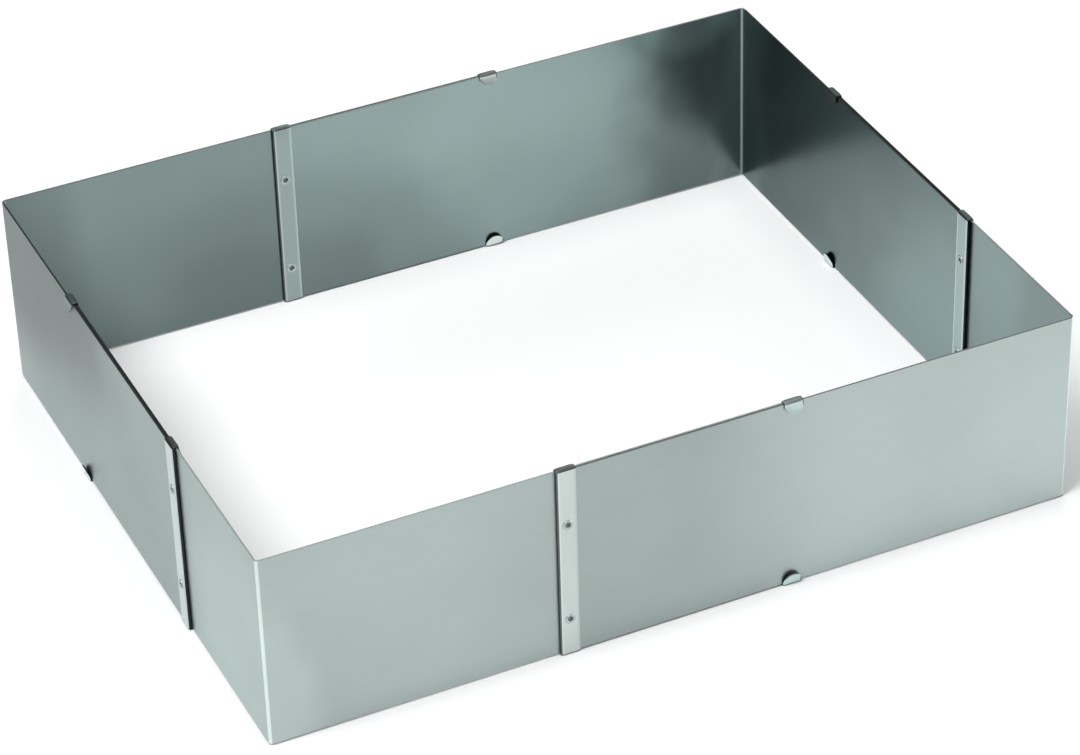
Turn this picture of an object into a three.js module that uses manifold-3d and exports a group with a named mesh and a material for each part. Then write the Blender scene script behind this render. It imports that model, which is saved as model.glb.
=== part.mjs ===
// Adjustable cake frame: four L-shaped corner sheets that slide in one another.
// Units are millimetres. +X runs along the long sides, +Y goes to the back and +Z is up.
// The origin is the middle of the underside, on the surface that the frame stands on.

import * as THREE from 'three';
import { mergeVertices } from 'three/addons/utils/BufferGeometryUtils.js';
import Module from 'manifold-3d';

const wasm = await Module();
wasm.setup();

// Corner sheets
const sheetHeight = 75;
const sheetThickness = 0.7;
const bendRadius = 1;
const longArm = 196;
const shortArm = 172;

// How the sheets lie in one another
const slidingGap = 0.2;
const longOverlap = 91;
const shortOverlap = 103;

// Guide clips
const clipWidth = 7.2;
const clipThickness = 0.5;
const clipFoldRadius = 0.15;
const hookReach = 4;
const hookClearance = 0.2;
const hookFlare = 1;
const hookFlareStart = 0.6;

// Rivets that hold the clips, and their heights in each clip as shares of the sheet's height
const rivetHeadDiameter = 3.8;
const rivetHeadHeight = 0.2;
const rivetShankDiameter = 2.6;
const rivetBoreDiameter = 2;
const rivetBoreDepth = 1;
const rivetTailDiameter = 3.2;
const rivetTailHeight = 0.3;
const rivetTailSetback = 0.1;
const rivetHoleClearance = 0.2;
const longClipRivetShares = { lower: 0.19, upper: 0.71 };
const shortClipRivetShares = { lower: 0.225, upper: 0.755 };

// Places that follow from the sizes
const cornerInset = sheetThickness + slidingGap;
const frameLength = 2 * longArm + cornerInset - longOverlap;
const frameWidth = 2 * shortArm + cornerInset - shortOverlap;
const clipStandOff = clipFoldRadius + clipThickness;

// Half the number of facets in each arc, and the sides of a round piece
const foldFacets = 2;
const bendFacets = 4;
const hookFacets = 7;
const roundSides = 16;

// How far a cutter runs past the faces that it opens, and how close two vertices are one
const cutOverrun = 1;
const weldDistance = 0.001;

const quarterTurn = Math.PI / 2;
const halfTurn = Math.PI;

// Turns a closed geometry into a solid that can be cut
function toSolid(geometry) {
  const bare = geometry.clone();
  bare.deleteAttribute('normal');
  bare.deleteAttribute('uv');
  const welded = mergeVertices(bare, weldDistance);
  const corners = welded.index.array;
  const triangles = [];
  for (let first = 0; first < corners.length; first += 3) {
    const [a, b, c] = corners.slice(first, first + 3);
    if (a !== b && b !== c && c !== a) {
      triangles.push(a, b, c);
    }
  }
  return new wasm.Manifold(new wasm.Mesh({
    numProp: 3,
    vertProperties: new Float32Array(welded.attributes.position.array),
    triVerts: new Uint32Array(triangles),
  }));
}

// Turns a solid back into a geometry
function toGeometry(solid) {
  const mesh = solid.getMesh();
  const geometry = new THREE.BufferGeometry();
  geometry.setAttribute('position', new THREE.BufferAttribute(mesh.vertProperties, 3));
  geometry.setIndex(new THREE.BufferAttribute(mesh.triVerts, 1));
  geometry.computeVertexNormals();
  return geometry;
}

// Cuts each cutter out of a geometry
function cut(geometry, cutters) {
  let solid = toSolid(geometry);
  for (const cutter of cutters) {
    solid = solid.subtract(toSolid(cutter));
  }
  return toGeometry(solid);
}

// A bent sheet. Its outer faces meet on the Z axis, and its arms run along +X and +Y.
function cornerSheet(xArm, yArm) {
  const outerRadius = bendRadius + sheetThickness;
  const outline = new THREE.Shape();
  outline.moveTo(xArm, 0);
  outline.lineTo(xArm, sheetThickness);
  outline.absarc(outerRadius, outerRadius, bendRadius, -quarterTurn, -halfTurn, true);
  outline.lineTo(sheetThickness, yArm);
  outline.lineTo(0, yArm);
  outline.absarc(outerRadius, outerRadius, outerRadius, halfTurn, halfTurn + quarterTurn, false);
  return new THREE.ExtrudeGeometry(outline, {
    depth: sheetHeight,
    bevelEnabled: false,
    curveSegments: bendFacets,
  });
}

// A guide clip, with X along the sheet, Y out of the strip and Z up. The strip lies on its own
// sheet's face at Y = 0. Its ends fold over both sheets and hook behind the one that slides, and
// the hooks' tips flare away from it so that it slips in.
function guideClip() {
  const hookFront = -(sheetThickness + cornerInset + hookClearance);
  const hookBack = hookFront - clipThickness;
  const topHookEnd = sheetHeight - hookReach;
  const topFlareStart = sheetHeight - hookFlareStart;
  const outerRadius = clipFoldRadius + clipThickness;
  const folds = [-clipFoldRadius, hookFront + clipFoldRadius];
  const section = new THREE.Shape();
  section.moveTo(hookBack - hookFlare, topHookEnd);
  section.lineTo(hookBack, topFlareStart);
  section.absarc(folds[1], sheetHeight, outerRadius, halfTurn, quarterTurn, true);
  section.absarc(folds[0], sheetHeight, outerRadius, quarterTurn, 0, true);
  section.absarc(folds[0], 0, outerRadius, 0, -quarterTurn, true);
  section.absarc(folds[1], 0, outerRadius, -quarterTurn, -halfTurn, true);
  section.lineTo(hookBack, hookFlareStart);
  section.lineTo(hookBack - hookFlare, hookReach);
  section.lineTo(hookFront - hookFlare, hookReach);
  section.lineTo(hookFront, hookFlareStart);
  section.absarc(folds[1], 0, clipFoldRadius, halfTurn, halfTurn + quarterTurn, false);
  section.absarc(folds[0], 0, clipFoldRadius, -quarterTurn, 0, false);
  section.absarc(folds[0], sheetHeight, clipFoldRadius, 0, quarterTurn, false);
  section.absarc(folds[1], sheetHeight, clipFoldRadius, quarterTurn, halfTurn, false);
  section.lineTo(hookFront, topFlareStart);
  section.lineTo(hookFront - hookFlare, topHookEnd);
  const bent = new THREE.ExtrudeGeometry(section, {
    depth: clipWidth,
    bevelEnabled: false,
    curveSegments: foldFacets,
  });
  bent.rotateX(quarterTurn).rotateZ(quarterTurn).translate(-clipWidth / 2, 0, 0);

  const halfWidth = clipWidth / 2;
  const side = halfWidth + cutOverrun;
  const beyond = new THREE.Shape();
  beyond.moveTo(-side, topHookEnd - cutOverrun);
  beyond.lineTo(side, topHookEnd - cutOverrun);
  beyond.lineTo(side, topHookEnd + halfWidth);
  beyond.lineTo(halfWidth, topHookEnd + halfWidth);
  beyond.absarc(0, topHookEnd + halfWidth, halfWidth, 0, -halfTurn, true);
  beyond.lineTo(-side, topHookEnd + halfWidth);
  const topTrim = new THREE.ExtrudeGeometry(beyond, {
    depth: clipThickness + hookClearance + hookFlare + cutOverrun,
    bevelEnabled: false,
    curveSegments: hookFacets,
  });
  topTrim.rotateX(quarterTurn).translate(0, hookFront + hookClearance, 0);
  const bottomTrim = topTrim.clone().rotateY(halfTurn).translate(0, 0, sheetHeight);
  return cut(bent, [topTrim, bottomTrim]);
}

// A solid or a cutter turned about +Y from [radius, height] pairs, listed from its lower end
function turned(pairs) {
  const points = pairs.map(([radius, height]) => new THREE.Vector2(radius, height));
  return new THREE.LatheGeometry(points, roundSides);
}

// A hollow rivet. Y = 0 is the strip's face, under the head, and the flared tail ends flush.
function rivet() {
  const tail = rivetTailSetback - sheetThickness - clipThickness;
  const boreFloor = rivetHeadHeight - rivetBoreDepth;
  const headRadius = rivetHeadDiameter / 2;
  return turned([
    [0, tail],
    [rivetTailDiameter / 2, tail],
    [rivetShankDiameter / 2, tail + rivetTailHeight],
    [rivetShankDiameter / 2, 0],
    [headRadius, 0],
    [headRadius - rivetHeadHeight, rivetHeadHeight],
    [rivetBoreDiameter / 2, rivetHeadHeight],
    [rivetBoreDiameter / 2, boreFloor],
    [0, boreFloor],
  ]);
}

// What a rivet's hole takes out of the strip and of the sheet, where it is countersunk
function rivetHole() {
  const slidingFace = -sheetThickness - clipThickness;
  const wide = rivetTailDiameter / 2 + rivetHoleClearance;
  const narrow = rivetShankDiameter / 2 + rivetHoleClearance;
  return turned([
    [0, slidingFace - cutOverrun],
    [wide, slidingFace - cutOverrun],
    [wide, slidingFace],
    [narrow, slidingFace + rivetTailHeight],
    [narrow, cutOverrun],
    [0, cutOverrun],
  ]);
}

// Where a guide sits on an arm: the middle of its clip, and the turn that points Y off the strip
function guidePlace(arm, alongX, stripsInside) {
  const along = arm.length - clipWidth / 2;
  const across = stripsInside ? sheetThickness : 0;
  const outwardTurn = stripsInside ? 0 : halfTurn;
  const matrix = new THREE.Matrix4();
  matrix.makeRotationZ(alongX ? outwardTurn : outwardTurn - quarterTurn);
  matrix.setPosition(alongX ? along : across, alongX ? across : along, 0);
  return matrix;
}

// Where a rivet sits in its guide
function rivetPlace(share) {
  return new THREE.Matrix4().makeTranslation(0, clipThickness, share * sheetHeight);
}

function piece(name, geometry, colour, roughness) {
  const material = new THREE.MeshStandardMaterial({ color: colour, metalness: 1, roughness });
  const mesh = new THREE.Mesh(geometry, material);
  mesh.name = name;
  return mesh;
}

const arms = {
  long: { name: 'long', length: longArm, rivetShares: longClipRivetShares },
  short: { name: 'short', length: shortArm, rivetShares: shortClipRivetShares },
};

// The corners in the order in which each is a quarter turn on from the one before
const corners = [
  { name: 'front_left', xArm: arms.long, yArm: arms.short, inner: true, side: [-1, -1] },
  { name: 'front_right', xArm: arms.short, yArm: arms.long, inner: false, side: [1, -1] },
  { name: 'back_right', xArm: arms.long, yArm: arms.short, inner: true, side: [1, 1] },
  { name: 'back_left', xArm: arms.short, yArm: arms.long, inner: false, side: [-1, 1] },
];

const sheetLook = [0xa9b3b0, 0.36];
const clipLook = [0xc4cdca, 0.3];
const rivetLook = [0xb4bcba, 0.32];

// One corner: its sheet, and on the end of each arm a clip with its rivets
function buildCorner(corner) {
  const group = new THREE.Group();
  const rivetHoles = [];
  for (const arm of [corner.xArm, corner.yArm]) {
    const place = guidePlace(arm, arm === corner.xArm, corner.inner);
    const guide = new THREE.Group();
    guide.applyMatrix4(place);
    const clipHoles = [];
    for (const [level, share] of Object.entries(arm.rivetShares)) {
      const mesh = piece(`rivet_${corner.name}_${arm.name}_${level}`, rivet(), ...rivetLook);
      mesh.applyMatrix4(rivetPlace(share));
      guide.add(mesh);
      const hole = rivetHole().applyMatrix4(rivetPlace(share));
      clipHoles.push(hole);
      rivetHoles.push(hole.clone().applyMatrix4(place));
    }
    const clip = cut(guideClip(), clipHoles);
    guide.add(piece(`clip_${corner.name}_${arm.name}`, clip, ...clipLook));
    group.add(guide);
  }
  const sheet = cut(cornerSheet(corner.xArm.length, corner.yArm.length), rivetHoles);
  group.add(piece(`corner_${corner.name}`, sheet, ...sheetLook));
  return group;
}

const cakeFrame = new THREE.Group();
corners.forEach((corner, turns) => {
  const group = buildCorner(corner);
  const inset = corner.inner ? cornerInset : 0;
  group.rotation.z = turns * quarterTurn;
  group.position.set(
    corner.side[0] * (frameLength / 2 - inset),
    corner.side[1] * (frameWidth / 2 - inset),
    clipStandOff,
  );
  cakeFrame.add(group);
});

export default cakeFrame;
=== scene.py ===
"""Looks of an adjustable cake frame: bent steel sheets that slide in one another in folded clips.

Lengths are in metres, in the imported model's frame: +X runs along the long sides, +Y goes to the
back and +Z is up. A corner's pieces are modelled round the upright line where the outer faces of
its sheet meet, with its arms along +X and +Y, and are then put in place.
"""

import math

import bmesh
import bpy
from mathutils import Matrix, Vector


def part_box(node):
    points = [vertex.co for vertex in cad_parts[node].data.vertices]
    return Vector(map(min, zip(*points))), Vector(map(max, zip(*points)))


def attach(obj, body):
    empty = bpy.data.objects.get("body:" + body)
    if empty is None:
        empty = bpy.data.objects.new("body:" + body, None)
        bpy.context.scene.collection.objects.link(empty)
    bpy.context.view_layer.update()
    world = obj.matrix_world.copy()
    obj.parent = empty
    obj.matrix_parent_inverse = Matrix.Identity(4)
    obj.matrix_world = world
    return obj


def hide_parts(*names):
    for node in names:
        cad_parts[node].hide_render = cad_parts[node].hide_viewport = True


bl_info = {
    "name": "Adjustable cake frame",
    "version": (1, 0, 0),
    "blender": (4, 5, 0),
    "location": "3D View > Sidebar > Cake Frame",
    "description": "Builds the sheets, clips and rivets of a steel cake frame, and its studio",
    "category": "Object",
}

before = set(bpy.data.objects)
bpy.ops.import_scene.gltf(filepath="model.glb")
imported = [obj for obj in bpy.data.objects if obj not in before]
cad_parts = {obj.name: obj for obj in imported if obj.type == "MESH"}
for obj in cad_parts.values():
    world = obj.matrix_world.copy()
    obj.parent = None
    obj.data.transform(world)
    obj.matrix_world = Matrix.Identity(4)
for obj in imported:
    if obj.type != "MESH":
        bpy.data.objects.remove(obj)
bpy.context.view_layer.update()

# Two vertices nearer than this are one
WELD = 1e-6
QUARTER = math.pi / 2

# Edges that are sharper than this are rounded, in so many facets
SHARP_ANGLE = math.radians(50)
SHEET_EDGE_FACETS = 2
CLIP_EDGE_FACETS = 3
RIVET_RIM_FACETS = 3

# The places of a piece's materials: its front, its cut edge or bore, and its back
FRONT, EDGE, BACK = range(3)

# Each corner is a quarter turn on from the one before: its name, which way it lies from the
# middle, its arm along its own X and along its own Y, and whether its sheets slide inside
CORNERS = (
    ("front_left", (-1, -1), "long", "short", True),
    ("front_right", (1, -1), "short", "long", False),
    ("back_right", (1, 1), "long", "short", True),
    ("back_left", (-1, 1), "short", "long", False),
)

# How bright each sheet's outer and inner faces are beside the finish's colours: painted light and
# shade that brighten or darken whole sheets where their reflections are lighter or darker
SHEET_TONES = {
    "front_left": (0.96, 1.0),
    "front_right": (1.05, 0.97),
    "back_right": (0.95, 1.19),
    "back_left": (0.82, 0.92),
}

# How bright each sheet's level edges along X and along Y are beside its cut ends, as painted
# highlights that stand in for the light that the edges reflect
EDGE_TONES = {
    "front_left": (9.0, 9.0),
    "front_right": (4.0, 6.0),
    "back_right": (6.0, 0.6),
    "back_left": (4.5, 1.0),
}

# How much of their brightness the inner faces keep at each bend under painted shade
BEND_SHADE_SHARES = {
    "front_left": 0.8,
    "front_right": 0.85,
    "back_right": 0.62,
    "back_left": 0.85,
}

# The painted highlight along a bend, outside and inside: its reach and how bright it is beside a
# face without painted shade, and the nearnesses between which it fades in
OUTER_LINE = (0.001, 1.6)
INNER_LINE = (0.0012, 1.05)
LINE_FADE = (0.2, 0.5)

# A patch's border wanders: a noise of this scale and detail moves it by up to this much along X
# and Y, by half as much on average, and it fades in between these nearnesses to its middle
WANDER_NOISE = (25, 2)
WANDER = 0.03
DRIFT = WANDER / 2
PATCH_FADE = (0.15, 0.55)

# A reach that goes past the whole frame
FAR = 9

# Patches of painted shade and painted light on the sheets: the sheet, whether it is the inner face,
# the share of its brightness in the middle of the patch, that middle from the lower end of the
# bend, with the drift of its border, and its reach each way
LIGHT_AND_SHADE_PATCHES = (
    ("front_left", True, BEND_SHADE_SHARES["front_left"], (DRIFT, DRIFT, 0), (0.05, 0.05, FAR)),
    ("front_right", True, BEND_SHADE_SHARES["front_right"], (DRIFT, DRIFT, 0), (0.05, 0.05, FAR)),
    ("back_left", True, BEND_SHADE_SHARES["back_left"], (DRIFT, DRIFT, 0), (0.04, 0.04, FAR)),
    ("back_right", True, 0.84, (-0.18, 0, 0), (0.11, FAR, 0.085)),
    ("back_right", True, 0.82, (-0.18, 0, 0), (0.06, FAR, 0.045)),
    ("back_right", True, 1.08, (-0.08, DRIFT, 0.05), (0.062, FAR, 0.09)),
    ("back_right", True, 0.93, (-0.03, DRIFT, 0), (0.05, 0.03, 0.035)),
    ("back_right", True, 0.72, (-0.008, DRIFT, 0.055), (0.028, 0.03, 0.04)),
    ("back_right", True, 1.5, (DRIFT, DRIFT, 0.04), (0.02, 0.03, FAR)),
    ("back_right", True, 2.0, (-0.009, DRIFT, 0.082), (0.034, 0.02, 0.031)),
    ("front_left", False, 1.14, (0.01, 0.03, 0.01), (0.03, 0.08, 0.09)),
    ("front_right", False, 1.04, (0.005, DRIFT, 0.03), (0.05, 0.05, FAR)),
    ("back_left", True, 0.9, (0.1, 0, 0), (0.1, FAR, 0.085)),
    ("back_left", True, 0.89, (0.1, 0, 0), (0.05, FAR, 0.045)),
    ("front_right", False, 0.8, (-0.195, 0, 0.04), (0.14, FAR, FAR)),
    ("back_left", False, 0.45, (DRIFT, DRIFT, 0.085), (0.09, 0.17, 0.1)),
)

# The sheet that gets the most painted shade about its bend, in a wedge that widens upwards from the
# bend's foot, and how far the wedge reaches along X and along Y at its top
DARK_SHEET = "back_right"
WEDGE_REACHES = (0.062, 0.092)

# The wedge and the fringe about it: from how far below the wedge's border to how far above it the
# painted shade grows dark, in shares of the height, the darkest share of its brightness, and where
# along X it is that dark and where it is bright again, in shares of the wedge's reach
WEDGE = ((-0.2, 0.1), 0.82, (0.3, 0.75))
WEDGE_FRINGE = ((-1.6, -0.1), 0.4, (0.1, 0.45))

# The plain patch of painted shade about the same bend: the darkest share of its brightness and its
# reach each way
BESIDE_SHARE = 0.6
BESIDE_REACHES = (0.07, 0.03, FAR)

# How bright the inner faces are at their lower and upper edges: painted shade below, painted light
# above
FOOT_TONES = (0.88, 1.1)

# How near an edge is to a long side's outer face where it counts as one along X, and to the sheet's
# top or bottom where it counts as level: not yet at the first distance, and wholly at the second
SIDE_FADE = (0.003, 0.002)
LEVEL_FADE = (0.0003, 0.0001)

# The sheets whose edges along Y get black painted shade where they slide past the next sheet's: how
# far that reaches from the side's middle, between what nearnesses it fades, and how bright the edge
# is left
SLIDING_EDGES = ("front_left", "front_right")
SLIDING_REACH = 0.1
BLACK_FADE = (0.51, 0.55)
BLACK_SHARE = 0.08

# The clips' finishes, by whether the strip is inside and by the arm that it is on: how bright the
# steel is, how much brighter a painted highlight makes it where its wear_and_sheen value is 1, the
# share of its brightness that its folds keep under painted shade, and how much of that fold shade
# its upper hook gets, where a fold is 1
CLIP_FINISHES = {
    (False, "long"): (1.0, 1.4, 0.2, 0.0),
    (False, "short"): (1.0, 1.4, 0.1, 0.84),
    (True, "long"): (1.0, 2.0, 0.36, 0.25),
    (True, "short"): (1.2, 2.0, 0.15, 0.7),
}

# How bright a clip's cut edges and lips are beside a sheet's cut ends, by the arm that it is on, as
# painted light and shade
CLIP_EDGE_TONES = {"long": 3.5, "short": 0.7}

# The wear_and_sheen value where a clip starts to be rough, and how rough it is there and on its
# folds, and how rough the rivets are
MOST_WORN = 0.85
WORN_ROUGHNESS = 0.42
FOLD_ROUGHNESS = 0.5
RIVET_ROUGHNESS = 0.42

# How much the roughness varies either way, and on the sheets' inner faces
UNEVENNESS = 0.03
INSIDE_UNEVENNESS = 0.015

# How finely the grain varies along X, Y and Z: it runs along the sheets and up the clips
SHEET_GRAIN = (60, 60, 6000)
CLIP_GRAIN = (6000, 6000, 60)
RIVET_GRAIN = (900, 900, 900)

# How far the patterns move on from one sheet to the next
PATTERN_SHIFT = (0.37, 0.11, 0.23)

# The patterns of the steel: a noise's scale, detail and roughness, how bright the steel is where
# it is low and high, and the strength and height of its bumps
CLOUDS = (13, 2)
CLOUD_TONES = (0.93, 1.05)
STREAKS = (1, 4, 0.6)
STREAK_TONES = (0.965, 1.035)
STREAK_BUMPS = (0.01, 0.00002)
RIBS = (2500, 3)
RIB_TONES = (0.75, 1.2)
RIB_ROUGHNESS = (0.5, 0.62)
RIB_BUMPS = (0.25, 0.00003)

# Below the first value a noise is low, and above the second one it is high
NOISE_SPAN = (0.3, 0.7)

SPECULAR_TINT = (0.9, 0.95, 0.96, 1)

FLOOR_REACH = 8
FLOOR_ROUGHNESS = 0.9

# The camera's sensor in millimetres, and how far it sees
SENSOR_WIDTH = 36
VIEW_END = 50

# The soft lamps: name, azimuth and elevation in degrees, as the camera's, size and power in watts
LAMPS = (
    ("lamp_left", -75, 60, 1.0, 50.0),
    ("lamp_top", 0, 88, 1.6, 23.6),
    ("lamp_right", 60, 12, 1.0, 31.7),
    ("lamp_back", 150, 35, 1.0, 10.6),
)


def finish_piece(bm, name, place, materials):
    """Makes an object of a bmesh that is modelled at a corner, and puts it in place."""
    bmesh.ops.transform(bm, matrix=place, verts=bm.verts)
    for face in bm.faces:
        face.smooth = True
    mesh = bpy.data.meshes.new(name)
    bm.to_mesh(mesh)
    bm.free()
    for material in materials:
        mesh.materials.append(material)
    piece = bpy.data.objects.new(name, mesh)
    bpy.context.scene.collection.objects.link(piece)
    return piece


def thicken(piece, thickness, edge_radius, facets, back_material, thinnest=1.0):
    """Gives a sheet its thickness, behind its front face, and takes the sharpness off its edges.

    The thickness group of its vertices says where it is whole, and elsewhere it goes down to the
    thinnest share. Its rim takes the material of cut edges.
    """
    solid = piece.modifiers.new("Thickness", "SOLIDIFY")
    if thinnest < 1:
        solid.vertex_group = piece.vertex_groups.new(name="thickness").name
        solid.thickness_vertex_group = thinnest
    solid.thickness = thickness
    solid.offset = -1
    solid.use_even_offset = True
    solid.use_quality_normals = True
    solid.material_offset = back_material
    solid.material_offset_rim = EDGE
    edges = piece.modifiers.new("Edges", "BEVEL")
    edges.width = edge_radius
    edges.segments = facets
    edges.limit_method = "ANGLE"
    edges.angle_limit = SHARP_ANGLE
    edges.profile = 0.5
    edges.material = -1
    edges.harden_normals = True


def declare(piece, corner_name, node):
    """Says which body carries a piece and which node it stands for."""
    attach(piece, corner_name)
    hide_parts(node)


def grow(bm, row, step):
    """Extrudes a row of edges by a step and returns the new row."""
    grown = bmesh.ops.extrude_edge_only(bm, edges=row)["geom"]
    verts = [part for part in grown if isinstance(part, bmesh.types.BMVert)]
    bmesh.ops.translate(bm, verts=verts, vec=step)
    return rows_among(grown, verts)


def fold(bm, row, centre, axis, angle, steps):
    """Sweeps a row of edges round a fold and returns the row at its end."""
    verts = each_once(vert for edge in row for vert in edge.verts)
    swept = bmesh.ops.spin(
        bm,
        geom=verts + row,
        cent=centre,
        axis=axis,
        angle=angle,
        steps=steps,
        use_duplicate=False,
    )["geom_last"]
    verts = [part for part in swept if isinstance(part, bmesh.types.BMVert)]
    return rows_among(swept, verts)


def each_once(parts):
    """Some parts of a mesh, each once and in their order."""
    return list(dict.fromkeys(parts))


def rows_among(parts, verts):
    """The edges among some parts of a mesh whose two ends are both among its verts."""
    verts = set(verts)
    edges = [part for part in parts if isinstance(part, bmesh.types.BMEdge)]
    return [edge for edge in edges if verts.issuperset(edge.verts)]


def row_at(edges, axis, value):
    """The edges among some that lie on the plane where an axis has a value."""
    return [
        edge for edge in edges if all(abs(vert.co[axis] - value) < WELD for vert in edge.verts)
    ]


def riveted_strip(bm, arm_name, sizes):
    """A flat upright strip on the XZ plane, as high as the sheet, with an arm's two rivet holes."""
    rivet = sizes.rivet
    half_width = sizes.clip.width / 2
    heights = rivet_heights(arm_name, rivet, sizes.sheet)
    rows_below = []
    rows_above = []
    for height in heights:
        ring = bmesh.ops.create_circle(
            bm,
            cap_ends=False,
            radius=rivet.hole_diameter / 2,
            segments=rivet.sides,
            matrix=Matrix.Translation((0, 0, height)) @ Matrix.Rotation(QUARTER, 4, "X"),
        )["verts"]
        circle = rows_among(each_once(edge for vert in ring for edge in vert.link_edges), ring)
        grown = bmesh.ops.extrude_edge_only(bm, edges=circle)["geom"]
        border = [part for part in grown if isinstance(part, bmesh.types.BMVert)]
        for vert in border:
            across = vert.co.x
            up = vert.co.z - height
            reach = half_width / max(abs(across), abs(up))
            vert.co.x = across * reach
            vert.co.z = height + up * reach
        around = rows_among(grown, border)
        rows_below.append(row_at(around, 2, height - half_width))
        rows_above.append(row_at(around, 2, height + half_width))
    lower, upper = heights
    grow(bm, rows_below[0], Vector((0, 0, half_width - lower)))
    grow(bm, rows_above[0], Vector((0, 0, upper - lower - 2 * half_width)))
    grow(bm, rows_above[1], Vector((0, 0, sizes.sheet.height - upper - half_width)))
    bmesh.ops.remove_doubles(bm, verts=bm.verts, dist=WELD)


def face_outwards(bm, outward):
    """Turns all faces the same way, so that the widest one faces a given way."""
    bmesh.ops.recalc_face_normals(bm, faces=bm.faces)
    widest = max(bm.faces, key=lambda face: face.calc_area())
    if widest.normal.dot(outward) < 0:
        bmesh.ops.reverse_faces(bm, faces=bm.faces)


def corner_place(corner_name, side, turns):
    """Where a corner's own frame lies: its sheet's lower outer corner, turned in quarters."""
    low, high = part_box("corner_" + corner_name)
    x = high.x if side[0] > 0 else low.x
    y = high.y if side[1] > 0 else low.y
    return Matrix.Translation((x, y, low.z)) @ Matrix.Rotation(turns * QUARTER, 4, "Z")


def guide_place(arm_length, along_x, strips_inside, clip, sheet):
    """Where a guide's own frame lies in its corner's: X along the sheet and Y out of the strip."""
    along = arm_length - clip.width / 2
    across, turn = (sheet.thickness, 0) if strips_inside else (0, math.pi)
    if along_x:
        return Matrix.Translation((along, across, 0)) @ Matrix.Rotation(turn, 4, "Z")
    return Matrix.Translation((across, along, 0)) @ Matrix.Rotation(turn - QUARTER, 4, "Z")


def corner_arms(corner_name, turns):
    """The lengths of a corner's arms along its own X and Y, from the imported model."""
    low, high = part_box("corner_" + corner_name)
    size = high - low
    return (size.x, size.y) if turns % 2 == 0 else (size.y, size.x)


def rivet_heights(arm_name, rivet, sheet):
    """The heights of the two rivets in the clip on an arm, above the sheet's lower edge."""
    shares = rivet.long_clip_shares if arm_name == "long" else rivet.short_clip_shares
    return [share * sheet.height for share in shares]


def bent_sheet(corner_name, turns, arm_names, sizes):
    """The front face of a corner's sheet, with its rivet holes, as a bmesh."""
    sheet = sizes.sheet
    width = sizes.clip.width
    arms = corner_arms(corner_name, turns)
    bm = bmesh.new()
    far_rows = []
    for index, arm_name in enumerate(arm_names):
        before = set(bm.verts)
        riveted_strip(bm, arm_name, sizes)
        strip = [vert for vert in bm.verts if vert not in before]
        place = Matrix.Translation((arms[index] - width / 2, 0, 0))
        if index == 1:
            place = Matrix.Rotation(QUARTER, 4, "Z") @ place
        bmesh.ops.transform(bm, matrix=place, verts=strip)
        edges = each_once(edge for vert in strip for edge in vert.link_edges)
        far_rows.append(row_at(edges, index, arms[index] - width))
    outer_radius = sheet.bend_radius + sheet.thickness
    row = grow(bm, far_rows[0], Vector((outer_radius + width - arms[0], 0, 0)))
    centre = Vector((outer_radius, outer_radius, 0))
    row = fold(bm, row, centre, (0, 0, 1), -QUARTER, sheet.bend_steps)
    bmesh.ops.bridge_loops(bm, edges=row + far_rows[1])
    bmesh.ops.remove_doubles(bm, verts=bm.verts, dist=WELD)
    face_outwards(bm, Vector((-1, -1, 0)))
    return bm


def folded_clip(arm_name, inner_light_and_shade, upper_hook_shade, sizes):
    """The outer face of a clip, as a bmesh in its guide's frame."""
    sheet = sizes.sheet
    clip = sizes.clip
    half_width = clip.width / 2
    face = clip.thickness
    bm = bmesh.new()
    riveted_strip(bm, arm_name, sizes)
    bmesh.ops.translate(bm, verts=bm.verts, vec=(0, face, 0))
    radius = clip.fold_radius + clip.thickness
    hook_face = -(2 * sheet.thickness + sheet.sliding_gap + clip.hook_clearance + clip.thickness)
    near_fold = face - radius
    far_fold = hook_face + radius
    ends = ((0.0, -1), (sheet.height, 1))
    for edge_height, up in ends:
        row = [edge for edge in row_at(bm.edges, 2, edge_height) if edge.is_boundary]
        centre = Vector((0, near_fold, edge_height))
        row = fold(bm, row, centre, (1, 0, 0), up * QUARTER, clip.fold_steps)
        row = grow(bm, row, Vector((0, far_fold - near_fold, 0)))
        centre = Vector((0, far_fold, edge_height))
        row = fold(bm, row, centre, (1, 0, 0), up * QUARTER, clip.fold_steps)
        tip_centre = edge_height - up * (clip.hook_reach - half_width)
        row = grow(bm, row, Vector((0, 0, tip_centre - edge_height)))
        corners = (vert for edge in row for vert in edge.verts)
        start = max(corners, key=lambda vert: vert.co.x)
        centre = Vector((0, hook_face, tip_centre))
        bmesh.ops.spin(
            bm,
            geom=[start],
            cent=centre,
            axis=(0, 1, 0),
            angle=up * math.pi,
            steps=clip.tip_steps,
            use_duplicate=False,
        )
    bmesh.ops.remove_doubles(bm, verts=bm.verts, dist=WELD)
    rows = [edge for edge in bm.edges if edge.is_wire]
    for edge_height, up in ends:
        tip_centre = edge_height - up * (clip.hook_reach - half_width)
        rows += [
            edge
            for edge in row_at(bm.edges, 2, tip_centre)
            if edge.is_boundary and edge.verts[0].co.y < far_fold
        ]
    bmesh.ops.edgeloop_fill(bm, edges=rows)
    face_outwards(bm, Vector((0, 1, 0)))
    roll_edges(bm, clip, shade_lip_start(arm_name, clip), inner_light_and_shade)
    flare_hooks(bm, clip, sheet.height, near_fold, upper_hook_shade)
    return bm


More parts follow.
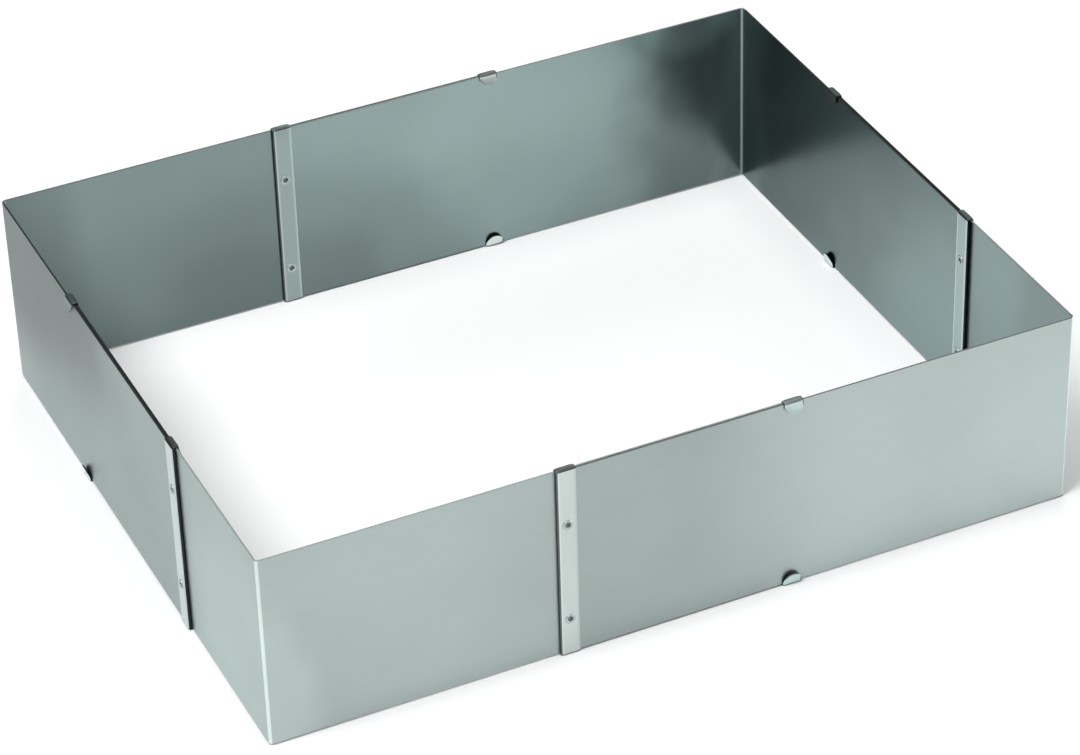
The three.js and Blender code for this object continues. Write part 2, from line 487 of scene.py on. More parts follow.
def flare_hooks(bm, clip, sheet_height, near_fold, upper_hook_shade):
    """Bends the hooks' tips off the sheet that slides, and notes what is folded and where the hooks
    get wear and a painted highlight.
    """
    wear_and_sheen = bm.verts.layers.float["wear_and_sheen"]
    folded = bm.verts.layers.float.new("folded")
    for height in (clip.flare_start, sheet_height - clip.flare_start):
        hooks = [face for face in bm.faces if face.calc_center_median().y < near_fold]
        parts = each_once(part for face in hooks for part in (face, *face.edges, *face.verts))
        bmesh.ops.bisect_plane(
            bm, geom=parts, dist=WELD, plane_co=(0, 0, height), plane_no=(0, 0, 1)
        )
    for vert in bm.verts:
        from_edge = min(vert.co.z, sheet_height - vert.co.z)
        is_hook = vert.co.y < near_fold - WELD
        is_upper = vert.co.z > sheet_height / 2
        vert[folded] = upper_hook_shade if is_hook and is_upper else 0
        if from_edge < -WELD:
            vert[folded] = 1
        if is_hook:
            vert[wear_and_sheen] = 1
        if is_hook and from_edge > clip.flare_start:
            share = (from_edge - clip.flare_start) / (clip.hook_reach - clip.flare_start)
            vert.co.y -= share * clip.hook_flare


def shade_lip_start(arm_name, clip):
    """How far from its middle a clip's lip of painted shade starts, at a corner of the hooks' round
    tips.
    """
    half_width = clip.width / 2
    shade_lip_width = clip.shade_lip_width if arm_name == "long" else clip.short_shade_lip_width
    facet = math.pi / clip.tip_steps
    facets = round(math.acos(1 - shade_lip_width / half_width) / facet)
    return half_width * math.cos(facets * facet)


def roll_edges(bm, clip, shade_lip_from, inner_light_and_shade):
    """Slopes a clip's borders, notes how thin they are and how much painted highlight and shade
    they get, and marks its lip of painted shade.
    """
    half_width = clip.width / 2
    flat_half = half_width - clip.rolled_width
    for across in (-flat_half, flat_half, shade_lip_from):
        bmesh.ops.bisect_plane(
            bm,
            geom=bm.verts[:] + bm.edges[:] + bm.faces[:],
            dist=WELD,
            plane_co=(across, 0, 0),
            plane_no=(1, 0, 0),
        )
    for face in bm.faces:
        if face.calc_center_median().x > shade_lip_from:
            face.material_index = EDGE
    bm.normal_update()
    thickness = bm.verts.layers.deform.verify()
    wear_and_sheen = bm.verts.layers.float.new("wear_and_sheen")
    for vert in bm.verts:
        share = max(0.0, abs(vert.co.x) - flat_half) / clip.rolled_width
        vert[thickness][0] = 1 - share
        vert[wear_and_sheen] = share * (clip.border_highlight if vert.co.x > 0 else inner_light_and_shade)
        vert.co -= vert.normal * (share * clip.rolled_drop)


def hollow_rivet(sizes):
    """A rivet with a rounded head and a bore, turned about +Y, with its head's seat at Y = 0."""
    rivet = sizes.rivet
    tail = -(sizes.sheet.thickness + sizes.clip.thickness - rivet.tail_setback)
    shank = rivet.shank_diameter / 2
    head = rivet.head_diameter / 2
    bore = rivet.bore_diameter / 2
    bore_floor = rivet.head_height - rivet.bore_depth
    outline = (
        (0, tail),
        (rivet.tail_diameter / 2, tail),
        (shank, tail + rivet.tail_height),
        (shank, 0),
        (head, 0),
        (head, rivet.head_height),
        (bore, rivet.head_height),
        (bore, bore_floor),
        (0, bore_floor),
    )
    bm = bmesh.new()
    verts = [bm.verts.new((radius, height, 0)) for radius, height in outline]
    for first, second in zip(verts, verts[1:]):
        bm.edges.new((first, second))
    head_rim, bore_mouth = verts[5:7]
    bmesh.ops.bevel(
        bm,
        geom=[head_rim, bore_mouth],
        affect="VERTICES",
        offset=rivet.head_rounding,
        segments=RIVET_RIM_FACETS,
        profile=0.5,
        material=-1,
    )
    bmesh.ops.spin(
        bm,
        geom=bm.verts[:] + bm.edges[:],
        cent=(0, 0, 0),
        axis=(0, 1, 0),
        angle=2 * math.pi,
        steps=rivet.sides * 2,
        use_merge=True,
        use_duplicate=False,
    )
    bmesh.ops.remove_doubles(bm, verts=bm.verts, dist=WELD)
    bmesh.ops.recalc_face_normals(bm, faces=bm.faces)
    for face in bm.faces:
        middle = face.calc_center_median()
        in_bore = math.hypot(middle.x, middle.z) < bore + WELD and middle.y > bore_floor - WELD
        face.material_index = EDGE if in_bore else FRONT
    return bm


def new_length(name, description, default):
    """A length in metres that a user can change."""
    return bpy.props.FloatProperty(
        name=name, description=description, default=default, unit="LENGTH"
    )


def new_angle(name, description, degrees):
    """An angle that a user can change."""
    return bpy.props.FloatProperty(
        name=name, description=description, default=math.radians(degrees), subtype="ANGLE"
    )


def new_share(name, description, default, lowest=0.0):
    """A share that a user can change, up to 1."""
    return bpy.props.FloatProperty(
        name=name, description=description, default=default, min=lowest, max=1.0, subtype="FACTOR"
    )


def new_count(name, description, default, lowest):
    """A number of facets that a user can change."""
    return bpy.props.IntProperty(
        name=name, description=description, default=default, min=lowest
    )


def new_colour(name, description, default):
    """A colour that a user can change."""
    return bpy.props.FloatVectorProperty(
        name=name, description=description, default=default, subtype="COLOR", size=3
    )


class SheetSizes(bpy.types.PropertyGroup):
    """Sizes of the bent corner sheets."""

    height: new_length("Height", "Height of the sheets", 0.075)
    thickness: new_length("Thickness", "Thickness of the sheets", 0.0007)
    bend_radius: new_length("Bend Radius", "Inner radius of the upright bend", 0.001)
    bend_steps: new_count("Bend Steps", "Number of facets round the upright bend", 8, 2)
    sliding_gap: new_length(
        "Sliding Gap", "Room between two sheets that lie in one another", 0.0002
    )
    edge_radius: new_length("Edge Radius", "Rounding of the deburred edges", 0.00008)


class ClipSizes(bpy.types.PropertyGroup):
    """Sizes of the guide clips."""

    width: new_length("Width", "Width of the strip", 0.0072)
    thickness: new_length("Thickness", "Thickness of the strip", 0.0005)
    fold_radius: new_length(
        "Fold Radius", "Inner radius of the folds over the sheets' edges", 0.00015
    )
    fold_steps: new_count("Fold Steps", "Number of facets round each fold", 6, 2)
    hook_reach: new_length("Hook Reach", "How far a hook reaches past the sheet's edge", 0.004)
    hook_clearance: new_length(
        "Hook Clearance", "Room between a hook and the sheet that slides", 0.0002
    )
    hook_flare: new_length("Hook Flare", "How far a hook's tip bends off the sheet", 0.001)
    flare_start: new_length(
        "Flare Start", "Distance from the sheet's edge to where a hook starts to flare", 0.0006
    )
    tip_steps: new_count("Tip Steps", "Number of facets round the tip of a hook", 24, 4)
    rolled_width: new_length(
        "Rolled Width", "Width of the sloping border along each long edge of the strip", 0.0012
    )
    rolled_drop: new_length(
        "Rolled Drop", "How much thinner the strip is at its long edges", 0.0002
    )
    # The lip is painted shade: the cut edges' dark colour laid on the strip's face beside the
    # sheet's end
    shade_lip_width: new_length(
        "Lip Width", "Width of the dark lip along the strip's edge at the sheet's end", 0.0005
    )
    short_shade_lip_width: new_length(
        "Lip Width on Short Arms", "Width of that lip on the short arms", 0.0003
    )
    # These three shares paint a highlight into a strip's borders where they are above 0, and shade
    # where they are below 0
    border_highlight: new_share(
        "Border Wear", "How worn the strip's border at the sheet's end is, where a hook is 1", 0.8
    )
    outside_inner_light_and_shade: new_share(
        "Inner Wear Outside",
        "How worn an outside strip's border on the sheet is; less than 0 is dull",
        -0.35,
        -1.0,
    )
    inside_inner_light_and_shade: new_share(
        "Inner Wear Inside",
        "How worn an inside strip's border on the sheet is; less than 0 is dull",
        0.4,
        -1.0,
    )
    edge_radius: new_length("Edge Radius", "Rounding of the clip's edges", 0.00012)


class RivetSizes(bpy.types.PropertyGroup):
    """Sizes and heights of the rivets."""

    head_diameter: new_length("Head Diameter", "Diameter of the head", 0.0038)
    head_height: new_length("Head Height", "How far the head stands out of the strip", 0.0002)
    head_rounding: new_length(
        "Head Rounding", "Rounding of the head's rim and of the bore's mouth", 0.00018
    )
    shank_diameter: new_length("Shank Diameter", "Diameter of the shank", 0.0026)
    bore_diameter: new_length("Bore Diameter", "Diameter of the bore in the head", 0.002)
    bore_depth: new_length("Bore Depth", "Depth of the bore below the top of the head", 0.00045)
    tail_diameter: new_length("Tail Diameter", "Diameter of the flared tail", 0.0032)
    tail_height: new_length("Tail Height", "Length over which the tail flares", 0.0003)
    tail_setback: new_length("Tail Setback", "How far the tail ends below the sliding face", 0.0001)
    hole_diameter: new_length(
        "Hole Diameter", "Diameter of the hole through strip and sheet", 0.0033
    )
    sides: new_count(
        "Sides", "Number of sides of a rivet hole, in fours; a rivet has twice as many", 16, 8
    )
    long_clip_shares: bpy.props.FloatVectorProperty(
        name="Heights on Long Arms",
        description="Heights of the two rivets on a long arm, as shares of the sheet's height",
        default=(0.19, 0.71),
        size=2,
    )
    short_clip_shares: bpy.props.FloatVectorProperty(
        name="Heights on Short Arms",
        description="Heights of the two rivets on a short arm, as shares of the sheet's height",
        default=(0.225, 0.755),
        size=2,
    )


class SteelFinish(bpy.types.PropertyGroup):
    """Colours and gloss of the steel."""

    outside_colour: new_colour(
        "Outside Colour", "Colour of the sheets' outer faces", (0.405, 0.472, 0.455)
    )
    # The inner faces' colour is darker than the outer faces' as painted shade for the inside of the
    # frame
    inside_colour: new_colour(
        "Inside Colour", "Colour of the sheets' inner faces", (0.222, 0.29, 0.284)
    )
    clip_colour: new_colour(
        "Clip Colour", "Colour of the clips whose strips are outside", (0.545, 0.61, 0.59)
    )
    # The inside clips' colour is darker than the outside clips' as painted shade for the inside of
    # the frame
    inside_clip_colour: new_colour(
        "Inside Clip Colour", "Colour of the clips whose strips are inside", (0.3, 0.37, 0.36)
    )
    rivet_colour: new_colour("Rivet Colour", "Colour of the rivets", (0.47, 0.53, 0.515))
    # The cut ends' near-black is partly their own dark steel and partly painted shade of the gaps
    # beside them
    cut_colour: new_colour(
        "Cut Edge Colour", "Colour of the cut ends of sheets and clips", (0.045, 0.052, 0.05)
    )
    # The bore's darker colour is painted shade in the recess
    bore_colour: new_colour("Bore Colour", "Colour inside the rivets", (0.2, 0.225, 0.22))
    outside_roughness: new_share("Outside Roughness", "Roughness of the sheets' outer faces", 0.38)
    inside_roughness: new_share("Inside Roughness", "Roughness of the sheets' inner faces", 0.25)
    clip_roughness: new_share("Clip Roughness", "Roughness of the clips", 0.24)


class StudioSizes(bpy.types.PropertyGroup):
    """Camera, lights and floor."""

    azimuth: new_angle("Camera Azimuth", "Turn of the camera about the upright axis", -24.316)
    elevation: new_angle("Camera Elevation", "Angle of the camera above the horizon", 34.832)
    roll: new_angle("Camera Roll", "Turn of the camera about its own line of sight", -1.81)
    distance: new_length("Camera Distance", "Distance of the camera from what it looks at", 1.4348)
    aim: bpy.props.FloatVectorProperty(
        name="Aim",
        description="The point that the camera looks at",
        default=(-0.00402, -0.02014, 0.03815),
        subtype="TRANSLATION",
        size=3,
    )
    lens: bpy.props.FloatProperty(
        name="Lens",
        description="Focal length in millimetres",
        default=136.1,
    )
    floor_colour: new_colour("Floor Colour", "Colour of the floor", (0.93, 0.93, 0.93))
    surround_colour: new_colour("Surround Colour", "Colour of the room's light", (0.01, 0.01, 0.01))
    lamp_distance: new_length(
        "Lamp Distance", "Distance of the soft lamps from the middle of the frame", 2.5
    )


class CakeFrameSettings(bpy.types.PropertyGroup):
    """All settings of the cake frame."""

    sheet: bpy.props.PointerProperty(type=SheetSizes)
    clip: bpy.props.PointerProperty(type=ClipSizes)
    rivet: bpy.props.PointerProperty(type=RivetSizes)
    finish: bpy.props.PointerProperty(type=SteelFinish)
    studio: bpy.props.PointerProperty(type=StudioSizes)


def add_node(tree, kind, inputs, **values):
    """Adds a node, sets its values, and fills its inputs with sockets or plain values."""
    node = tree.nodes.new(kind)
    for key, value in values.items():
        setattr(node, key, value)
    for key, value in inputs.items():
        if isinstance(value, bpy.types.NodeSocket):
            tree.links.new(value, node.inputs[key])
        else:
            node.inputs[key].default_value = value
    return node.outputs


def shader_of(material):
    """The shader of a material."""
    return material.node_tree.nodes["Principled BSDF"]


def own_place(tree):
    """The place on a piece, in its own Object coordinates."""
    return add_node(tree, "ShaderNodeTexCoord", {})["Object"]


def parts_of(tree, place):
    """The X, Y and Z of a place."""
    return add_node(tree, "ShaderNodeSeparateXYZ", {"Vector": place})


def attribute(tree, name):
    """The value that a piece's mesh has under a name."""
    return add_node(tree, "ShaderNodeAttribute", {}, attribute_name=name)["Fac"]


def maths(tree, operation, *values):
    """A result of numbers, each a socket or a plain number."""
    return add_node(tree, "ShaderNodeMath", dict(enumerate(values)), operation=operation)["Value"]


def vector_maths(tree, operation, *values):
    """The results of vectors, each a socket or a plain vector."""
    return add_node(tree, "ShaderNodeVectorMath", dict(enumerate(values)), operation=operation)


def noise(tree, place, scale, detail, roughness=0.5):
    """A noise pattern that is read at a place, as a value and as a colour."""
    inputs = {"Vector": place, "Scale": scale, "Detail": detail, "Roughness": roughness}
    return add_node(tree, "ShaderNodeTexNoise", inputs)


def stretched(tree, place, offset, scale):
    """Moves and stretches the place at which a pattern is read."""
    inputs = {"Vector": place, "Location": offset, "Scale": scale}
    return add_node(tree, "ShaderNodeMapping", inputs)["Vector"]


def ranged(tree, value, results, span=NOISE_SPAN):
    """Maps a value's span to a range of results, smoothly, and stays at its ends beyond."""
    names = ("From Min", "From Max", "To Min", "To Max")
    inputs = {"Value": value, **dict(zip(names, (*span, *results)))}
    return add_node(tree, "ShaderNodeMapRange", inputs, interpolation_type="SMOOTHSTEP")["Result"]


def reaches_away(tree, place, middle, reaches):
    """How far a place is from a middle each way, in shares of the reach that way."""
    offset = [-along / reach for along, reach in zip(middle, reaches)]
    return stretched(tree, place, offset, [1 / reach for reach in reaches])


def nearness(tree, place, middle, reaches):
    """How near a place is to the middle of an ellipsoid: 1 there, and 0 at its reaches."""
    inputs = {"Vector": reaches_away(tree, place, middle, reaches)}
    return add_node(tree, "ShaderNodeTexGradient", inputs, gradient_type="SPHERICAL")["Fac"]


def wandering_place(tree):
    """The place on a piece, moved about a little, so that a patch's border wanders."""
    place = own_place(tree)
    moves = noise(tree, place, *WANDER_NOISE)["Color"]
    return vector_maths(tree, "MULTIPLY_ADD", moves, (WANDER, WANDER, 0), place)["Vector"]


def tint(material, share):
    """Scales a material's colour by a share that a pattern gives."""
    tree = material.node_tree
    colour = shader_of(material).inputs["Base Color"]
    inputs = {0: colour.links[0].from_socket, "Scale": share}
    scaled = add_node(tree, "ShaderNodeVectorMath", inputs, operation="SCALE")
    tree.links.new(scaled["Vector"], colour)


def roughen(material, roughness):
    """Makes a material at least as rough as a pattern says."""
    tree = material.node_tree
    entry = shader_of(material).inputs["Roughness"]
    tree.links.new(maths(tree, "MAXIMUM", entry.links[0].from_socket, roughness), entry)


def new_metal(name):
    """A new metal material."""
    material = bpy.data.materials.new(name)
    material.use_nodes = True
    shader_of(material).inputs["Metallic"].default_value = 1.0
    return material


def vary_colour(material, pattern, colour, tones):
    """Colours a material, by one tone where a pattern is low and by another where it is high."""
    tree = material.node_tree
    ramp = tree.nodes.new("ShaderNodeValToRGB")
    for stop, position, tone in zip(ramp.color_ramp.elements, NOISE_SPAN, tones):
        stop.position = position
        stop.color = (*[tone * channel for channel in colour], 1)
    tree.links.new(pattern, ramp.inputs["Fac"])
    tree.links.new(ramp.outputs["Color"], shader_of(material).inputs["Base Color"])


def raise_bumps(material, pattern, strength, height):
    """Raises the bumps of a pattern on a material."""
    tree = material.node_tree
    inputs = {"Strength": strength, "Distance": height, "Height": pattern}
    normal = add_node(tree, "ShaderNodeBump", inputs)["Normal"]
    tree.links.new(normal, shader_of(material).inputs["Normal"])


def steel(name, colour, roughness, grain, offset, tone=1.0, unevenness=UNEVENNESS):
    """A satin steel whose grain is stretched along the way that it was rolled."""
    material = new_metal(name)
    tree = material.node_tree
    shader_of(material).inputs["Specular Tint"].default_value = SPECULAR_TINT
    place = stretched(tree, own_place(tree), offset, (1, 1, 1))
    clouds = noise(tree, place, *CLOUDS)["Fac"]
    vary_colour(material, clouds, colour, [share * tone for share in CLOUD_TONES])
    streaks = noise(tree, stretched(tree, place, (0, 0, 0), grain), *STREAKS)["Fac"]
    gloss = ranged(tree, streaks, (roughness - unevenness, roughness + unevenness))
    tree.links.new(gloss, shader_of(material).inputs["Roughness"])
    tint(material, ranged(tree, streaks, STREAK_TONES))
    raise_bumps(material, streaks, *STREAK_BUMPS)
    return material


def cut_edge(name, colour):
    """The dark, finely ribbed steel of a cut end."""
    material = new_metal(name)
    tree = material.node_tree
    ribs = noise(tree, own_place(tree), *RIBS)["Fac"]
    vary_colour(material, ribs, colour, RIB_TONES)
    gloss = ranged(tree, ribs, RIB_ROUGHNESS)
    tree.links.new(gloss, shader_of(material).inputs["Roughness"])
    raise_bumps(material, ribs, *RIB_BUMPS)
    return material


def paint_bend_highlight(material, middle, reach, brightest):
    """Paints a highlight along the middle of a face's bend."""
    tree = material.node_tree
    near = nearness(tree, own_place(tree), (middle.x, middle.y, 0), (reach, reach, FAR))
    tint(material, ranged(tree, near, (1.0, brightest), LINE_FADE))


def paint_light_and_shade_patch(material, share, middle, reaches):
    """Paints shade or light into a material's colour in a patch with a wandering border."""
    tree = material.node_tree
    near = nearness(tree, wandering_place(tree), middle, reaches)
    tint(material, ranged(tree, near, (1.0, share), PATCH_FADE))


def paint_corner_shade(material, bend, height):
    """Paints shade into the inner faces at a bend in a wedge that widens upwards, and fades it out
    beside it.
    """
    tree = material.node_tree
    place = wandering_place(tree)
    foot = bend + Vector((DRIFT, DRIFT, 0))
    spread = reaches_away(tree, place, foot, (*WEDGE_REACHES, height))
    away = vector_maths(tree, "ABSOLUTE", spread)["Vector"]
    along_x = parts_of(tree, away)["X"]
    above_border = vector_maths(tree, "DOT_PRODUCT", away, (-1, -1, 1))["Value"]
    shares = []
    for border, darkest, end in (WEDGE, WEDGE_FRINGE):
        depth = ranged(tree, along_x, (darkest, 1.0), end)
        shares.append(ranged(tree, above_border, (1.0, depth), border))
    wedge, fringe = shares
    tint(material, wedge)
    near = nearness(tree, place, foot, BESIDE_REACHES)
    beside = ranged(tree, near, (1.0, BESIDE_SHARE), PATCH_FADE)
    tint(material, maths(tree, "MINIMUM", fringe, beside))


def paint_light_by_height(material, height):
    """Paints shade into an inner face towards its lower edge and light towards its upper edge."""
    tree = material.node_tree
    above_edge = parts_of(tree, own_place(tree))["Z"]
    tint(material, ranged(tree, above_edge, FOOT_TONES, (0, height)))


def paint_edge_highlight(material, bend, height, tones):
    """Paints a highlight onto a cut edge where it lies level, by one tone along X and by another
    along Y.
    """
    tree = material.node_tree
    place = parts_of(tree, own_place(tree))
    along_x, along_y = tones
    sideways = maths(tree, "ABSOLUTE", place["Y"])
    side = abs(bend.y)
    tone = ranged(tree, sideways, (along_y, along_x), [side - inset for inset in SIDE_FADE])
    half = height / 2
    from_middle = maths(tree, "ABSOLUTE", maths(tree, "SUBTRACT", place["Z"], bend.z + half))
    tint(material, ranged(tree, from_middle, (1.0, tone), [half - inset for inset in LEVEL_FADE]))


def paint_gap_shade(material):
    """Paints black shade onto an edge where it slides past the next sheet's, about the middle of a
    side.
    """
    tree = material.node_tree
    near = nearness(tree, own_place(tree), (0, 0, 0), (FAR, SLIDING_REACH, FAR))
    tint(material, ranged(tree, near, (1.0, BLACK_SHARE), BLACK_FADE))


def paint_border_light_and_wear(material, brightest):
    """Brightens a clip with a painted highlight where its wear_and_sheen value is above 0, darkens
    it with painted shade where it is below 0, and roughens it where that value is highest.
    """
    tree = material.node_tree
    wear_and_sheen = attribute(tree, "wear_and_sheen")
    tint(material, ranged(tree, wear_and_sheen, (2 - brightest, brightest), (-1, 1)))
    roughen(material, ranged(tree, wear_and_sheen, (0.0, WORN_ROUGHNESS), (MOST_WORN, 1)))


def shade_and_roughen_folds(material, share):
    """Darkens a clip with painted shade and roughens it where its folded attribute says that it is
    folded.
    """
    tree = material.node_tree
    folded = attribute(tree, "folded")
    tint(material, ranged(tree, folded, (1.0, share), (0, 1)))
    roughen(material, ranged(tree, folded, (0.0, FOLD_ROUGHNESS), (0, 1)))


def sheet_finishes(name, turns, place, sizes):
    """The materials of a corner's sheet: its outer faces, its cut edges and its inner faces."""
    sheet = sizes.sheet
    finish = sizes.finish
    shift = [turns * step for step in PATTERN_SHIFT]
    outer_tone, inner_tone = SHEET_TONES[name]
    outside = steel(
        "sheet_outside_" + name,
        finish.outside_colour,
        finish.outside_roughness,
        SHEET_GRAIN,
        shift,
        outer_tone,
    )
    inside = steel(
        "sheet_inside_" + name,
        finish.inside_colour,
        finish.inside_roughness,
        SHEET_GRAIN,
        shift,
        inner_tone,
        INSIDE_UNEVENNESS,
    )
    bend = place.translation
    edge = cut_edge("sheet_edge_" + name, finish.cut_colour)
    # Painted highlight on the level edges
    paint_edge_highlight(edge, bend, sheet.height, EDGE_TONES[name])
    # Painted black shade where the edges slide past the next sheet's
    if name in SLIDING_EDGES:
        paint_gap_shade(edge)
    # Patches of painted shade and light
    for sheet_name, is_inner, share, offset, reaches in LIGHT_AND_SHADE_PATCHES:
        if sheet_name == name:
            paint_light_and_shade_patch(inside if is_inner else outside, share, bend + Vector(offset), reaches)
    # Painted shade in a wedge about the darkest bend
    if name == DARK_SHEET:
        paint_corner_shade(inside, bend, sheet.height)
    # Painted shade towards the inner faces' foot and painted light towards their top
    paint_light_by_height(inside, sheet.height)
    inner_radius = sheet.bend_radius
    outer_radius = inner_radius + sheet.thickness
    # Painted highlights along the bends, outside and inside
    for face, radius, (reach, tone), bend_shade in (
        (outside, outer_radius, OUTER_LINE, 1.0),
        (inside, inner_radius, INNER_LINE, BEND_SHADE_SHARES[name]),
    ):
        across = outer_radius - radius * math.sqrt(0.5)
        paint_bend_highlight(face, place @ Vector((across, across, 0)), reach, tone / bend_shade)
    return outside, edge, inside


def guides(sizes):
    """Each guide's corner and arm, whether its strip is inside, and where its own frame lies."""
    for turns, (name, side, x_arm, y_arm, inside) in enumerate(CORNERS):
        corner = corner_place(name, side, turns)
        arms = corner_arms(name, turns)
        for index, arm_name in enumerate((x_arm, y_arm)):
            guide = guide_place(arms[index], index == 0, inside, sizes.clip, sizes.sheet)
            yield name, arm_name, inside, corner @ guide


class CAKEFRAME_OT_sheets(bpy.types.Operator):
    """Build the four bent corner sheets"""

    bl_idname = "cake_frame.sheets"
    bl_label = "Corner Sheets"
    bl_options = {"REGISTER", "UNDO"}

    def execute(self, context):
        sizes = context.scene.cake_frame
        sheet = sizes.sheet
        for turns, (name, side, x_arm, y_arm, _) in enumerate(CORNERS):
            bm = bent_sheet(name, turns, (x_arm, y_arm), sizes)
            place = corner_place(name, side, turns)
            materials = sheet_finishes(name, turns, place, sizes)
            piece = finish_piece(bm, "sheet_" + name, place, materials)
            thicken(piece, sheet.thickness, sheet.edge_radius, SHEET_EDGE_FACETS, BACK)
            declare(piece, name, "corner_" + name)
        return {"FINISHED"}


class CAKEFRAME_OT_clips(bpy.types.Operator):
    """Build the eight folded guide clips"""

    bl_idname = "cake_frame.clips"
    bl_label = "Guide Clips"
    bl_options = {"REGISTER", "UNDO"}

    def execute(self, context):
        sizes = context.scene.cake_frame
        clip = sizes.clip
        finish = sizes.finish
        faces = {}
        for (inside, arm_name), (tone, brightest, fold_share, _) in CLIP_FINISHES.items():
            face = steel(
                ("clip_inside_" if inside else "clip_outside_") + arm_name,
                finish.inside_clip_colour if inside else finish.clip_colour,
                finish.clip_roughness,
                CLIP_GRAIN,
                (0, 0, 0),
                tone,
            )
            # Painted highlight and shade on the borders and hooks, with wear's roughness on the
            # hooks
            paint_border_light_and_wear(face, brightest)
            # Painted shade on the folds, with roughness
            shade_and_roughen_folds(face, fold_share)
            faces[inside, arm_name] = face
        # The clips' cut edges and lips, lighter or darker by arm as painted light and shade
        edges = {
            arm_name: cut_edge(arm_name + "_clip_edge", [tone * part for part in finish.cut_colour])
            for arm_name, tone in CLIP_EDGE_TONES.items()
        }
        thinnest = 1 - clip.rolled_drop / clip.thickness
        for name, arm_name, inside, place in guides(sizes):
            inner_light_and_shade = clip.inside_inner_light_and_shade if inside else clip.outside_inner_light_and_shade
            upper_hook_shade = CLIP_FINISHES[inside, arm_name][-1]
            bm = folded_clip(arm_name, inner_light_and_shade, upper_hook_shade, sizes)
            materials = (faces[inside, arm_name], edges[arm_name])
            piece = finish_piece(bm, f"guide_{name}_{arm_name}", place, materials)
            thicken(piece, clip.thickness, clip.edge_radius, CLIP_EDGE_FACETS, EDGE, thinnest)
            declare(piece, name, f"clip_{name}_{arm_name}")
        return {"FINISHED"}


class CAKEFRAME_OT_rivets(bpy.types.Operator):
    """Build the sixteen rivets that hold the clips"""

    bl_idname = "cake_frame.rivets"
    bl_label = "Rivets"
    bl_options = {"REGISTER", "UNDO"}

    def execute(self, context):
        sizes = context.scene.cake_frame
        finish = sizes.finish
        dull = steel("rivet_steel", finish.rivet_colour, RIVET_ROUGHNESS, RIVET_GRAIN, (0, 0, 0))
        # The bore's darker colour is painted shade in the recess
        bore = cut_edge("rivet_bore", finish.bore_colour)
        for name, arm_name, _, place in guides(sizes):
            heights = rivet_heights(arm_name, sizes.rivet, sizes.sheet)
            for level, height in zip(("lower", "upper"), heights):
                seat = place @ Matrix.Translation((0, sizes.clip.thickness, height))
                rivet_name = f"{name}_{arm_name}_{level}"
                bm = hollow_rivet(sizes)
                piece = finish_piece(bm, "fastener_" + rivet_name, seat, (dull, bore))
                declare(piece, name, "rivet_" + rivet_name)
        return {"FINISHED"}


def seen_from(azimuth, elevation):
    """The turn of a camera or a lamp that points at the frame from an azimuth and an elevation."""
    return Matrix.Rotation(azimuth, 4, "Z") @ Matrix.Rotation(QUARTER - elevation, 4, "X")


def softbox(name, azimuth, elevation, size, power, studio):
    """Adds a square lamp that shines on the middle of the frame."""
    lamp = bpy.data.lights.new(name, "AREA")
    lamp.shape = "SQUARE"
    lamp.size = size
    lamp.energy = power
    box = bpy.data.objects.new(name, lamp)
    distance = Matrix.Translation((0, 0, studio.lamp_distance))
    box.matrix_world = seen_from(math.radians(azimuth), math.radians(elevation)) @ distance
    bpy.context.scene.collection.objects.link(box)


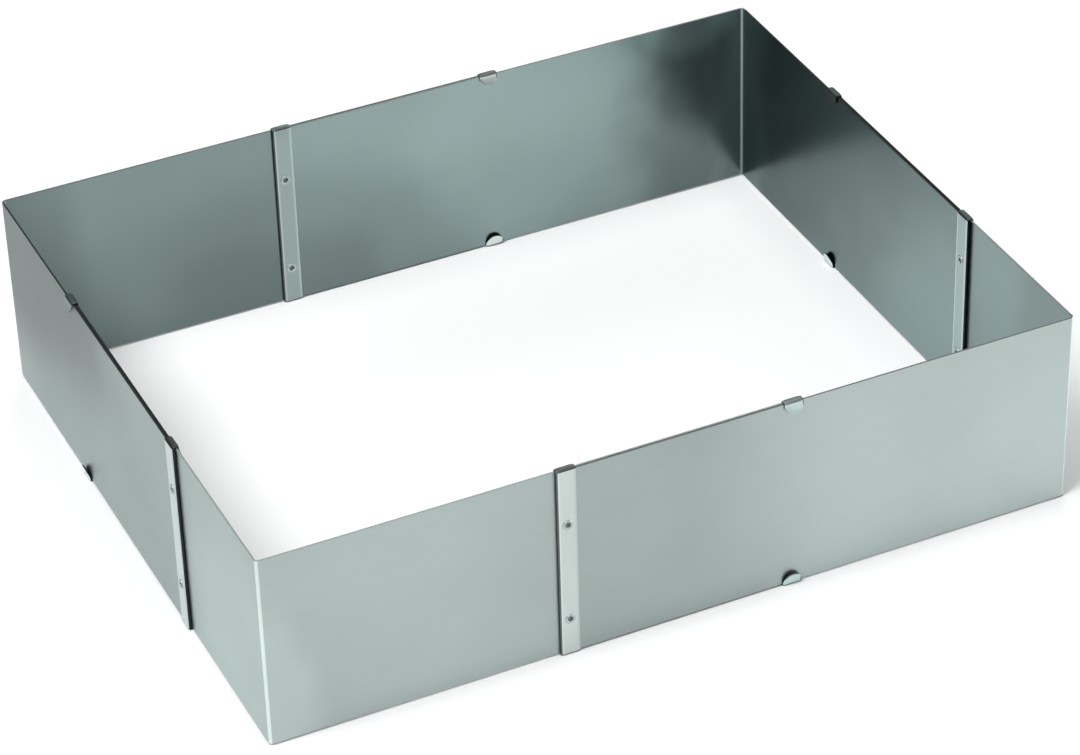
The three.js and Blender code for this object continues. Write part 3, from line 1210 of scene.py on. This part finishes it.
class CAKEFRAME_OT_studio(bpy.types.Operator):
    """Set up the floor, the lamps and the camera"""

    bl_idname = "cake_frame.studio"
    bl_label = "Studio"
    bl_options = {"REGISTER", "UNDO"}

    def execute(self, context):
        studio = context.scene.cake_frame.studio
        scene = context.scene

        bm = bmesh.new()
        bmesh.ops.create_grid(bm, x_segments=1, y_segments=1, size=FLOOR_REACH)
        mesh = bpy.data.meshes.new("floor")
        bm.to_mesh(mesh)
        bm.free()
        paper = bpy.data.materials.new("floor_paper")
        paper.use_nodes = True
        shader = shader_of(paper)
        shader.inputs["Base Color"].default_value = (*studio.floor_colour, 1)
        shader.inputs["Roughness"].default_value = FLOOR_ROUGHNESS
        shader.inputs["Specular IOR Level"].default_value = 0.0
        mesh.materials.append(paper)
        floor = bpy.data.objects.new("floor", mesh)
        scene.collection.objects.link(floor)

        world = bpy.data.worlds.new("studio")
        world.use_nodes = True
        background = world.node_tree.nodes["Background"]
        background.inputs["Color"].default_value = (*studio.surround_colour, 1)
        scene.world = world
        scene.view_settings.view_transform = "Standard"

        for lamp in LAMPS:
            softbox(*lamp, studio)

        camera = bpy.data.cameras.new("camera")
        camera.sensor_width = SENSOR_WIDTH
        camera.lens = studio.lens
        camera.clip_end = VIEW_END
        eye = bpy.data.objects.new("camera", camera)
        tilt = seen_from(studio.azimuth, studio.elevation)
        roll = Matrix.Rotation(studio.roll, 4, "Z")
        reach = Matrix.Translation((0, 0, studio.distance))
        eye.matrix_world = Matrix.Translation(studio.aim) @ tilt @ roll @ reach
        scene.collection.objects.link(eye)
        scene.camera = eye
        return {"FINISHED"}


class CAKEFRAME_PT_sidebar(bpy.types.Panel):
    """The cake frame's steps and settings"""

    bl_idname = "CAKEFRAME_PT_sidebar"
    bl_label = "Cake Frame"
    bl_space_type = "VIEW_3D"
    bl_region_type = "UI"
    bl_category = "Cake Frame"

    def draw(self, context):
        layout = self.layout
        sizes = context.scene.cake_frame
        for operator in OPERATORS:
            layout.operator(operator.bl_idname)
        for group in (sizes.sheet, sizes.clip, sizes.rivet, sizes.finish, sizes.studio):
            box = layout.box()
            for key in group.__annotations__:
                box.prop(group, key)


OPERATORS = (
    CAKEFRAME_OT_sheets,
    CAKEFRAME_OT_clips,
    CAKEFRAME_OT_rivets,
    CAKEFRAME_OT_studio,
)
CLASSES = (
    SheetSizes,
    ClipSizes,
    RivetSizes,
    SteelFinish,
    StudioSizes,
    CakeFrameSettings,
    *OPERATORS,
    CAKEFRAME_PT_sidebar,
)


def register():
    """Registers the classes and the scene's settings."""
    for item in CLASSES:
        bpy.utils.register_class(item)
    bpy.types.Scene.cake_frame = bpy.props.PointerProperty(type=CakeFrameSettings)


def unregister():
    """Takes the settings and the classes away again."""
    del bpy.types.Scene.cake_frame
    for item in reversed(CLASSES):
        bpy.utils.unregister_class(item)


def main():
    """Builds all pieces and the studio."""
    register()
    bpy.ops.cake_frame.sheets()
    bpy.ops.cake_frame.clips()
    bpy.ops.cake_frame.rivets()
    bpy.ops.cake_frame.studio()


if __name__ == "__main__":
    main()
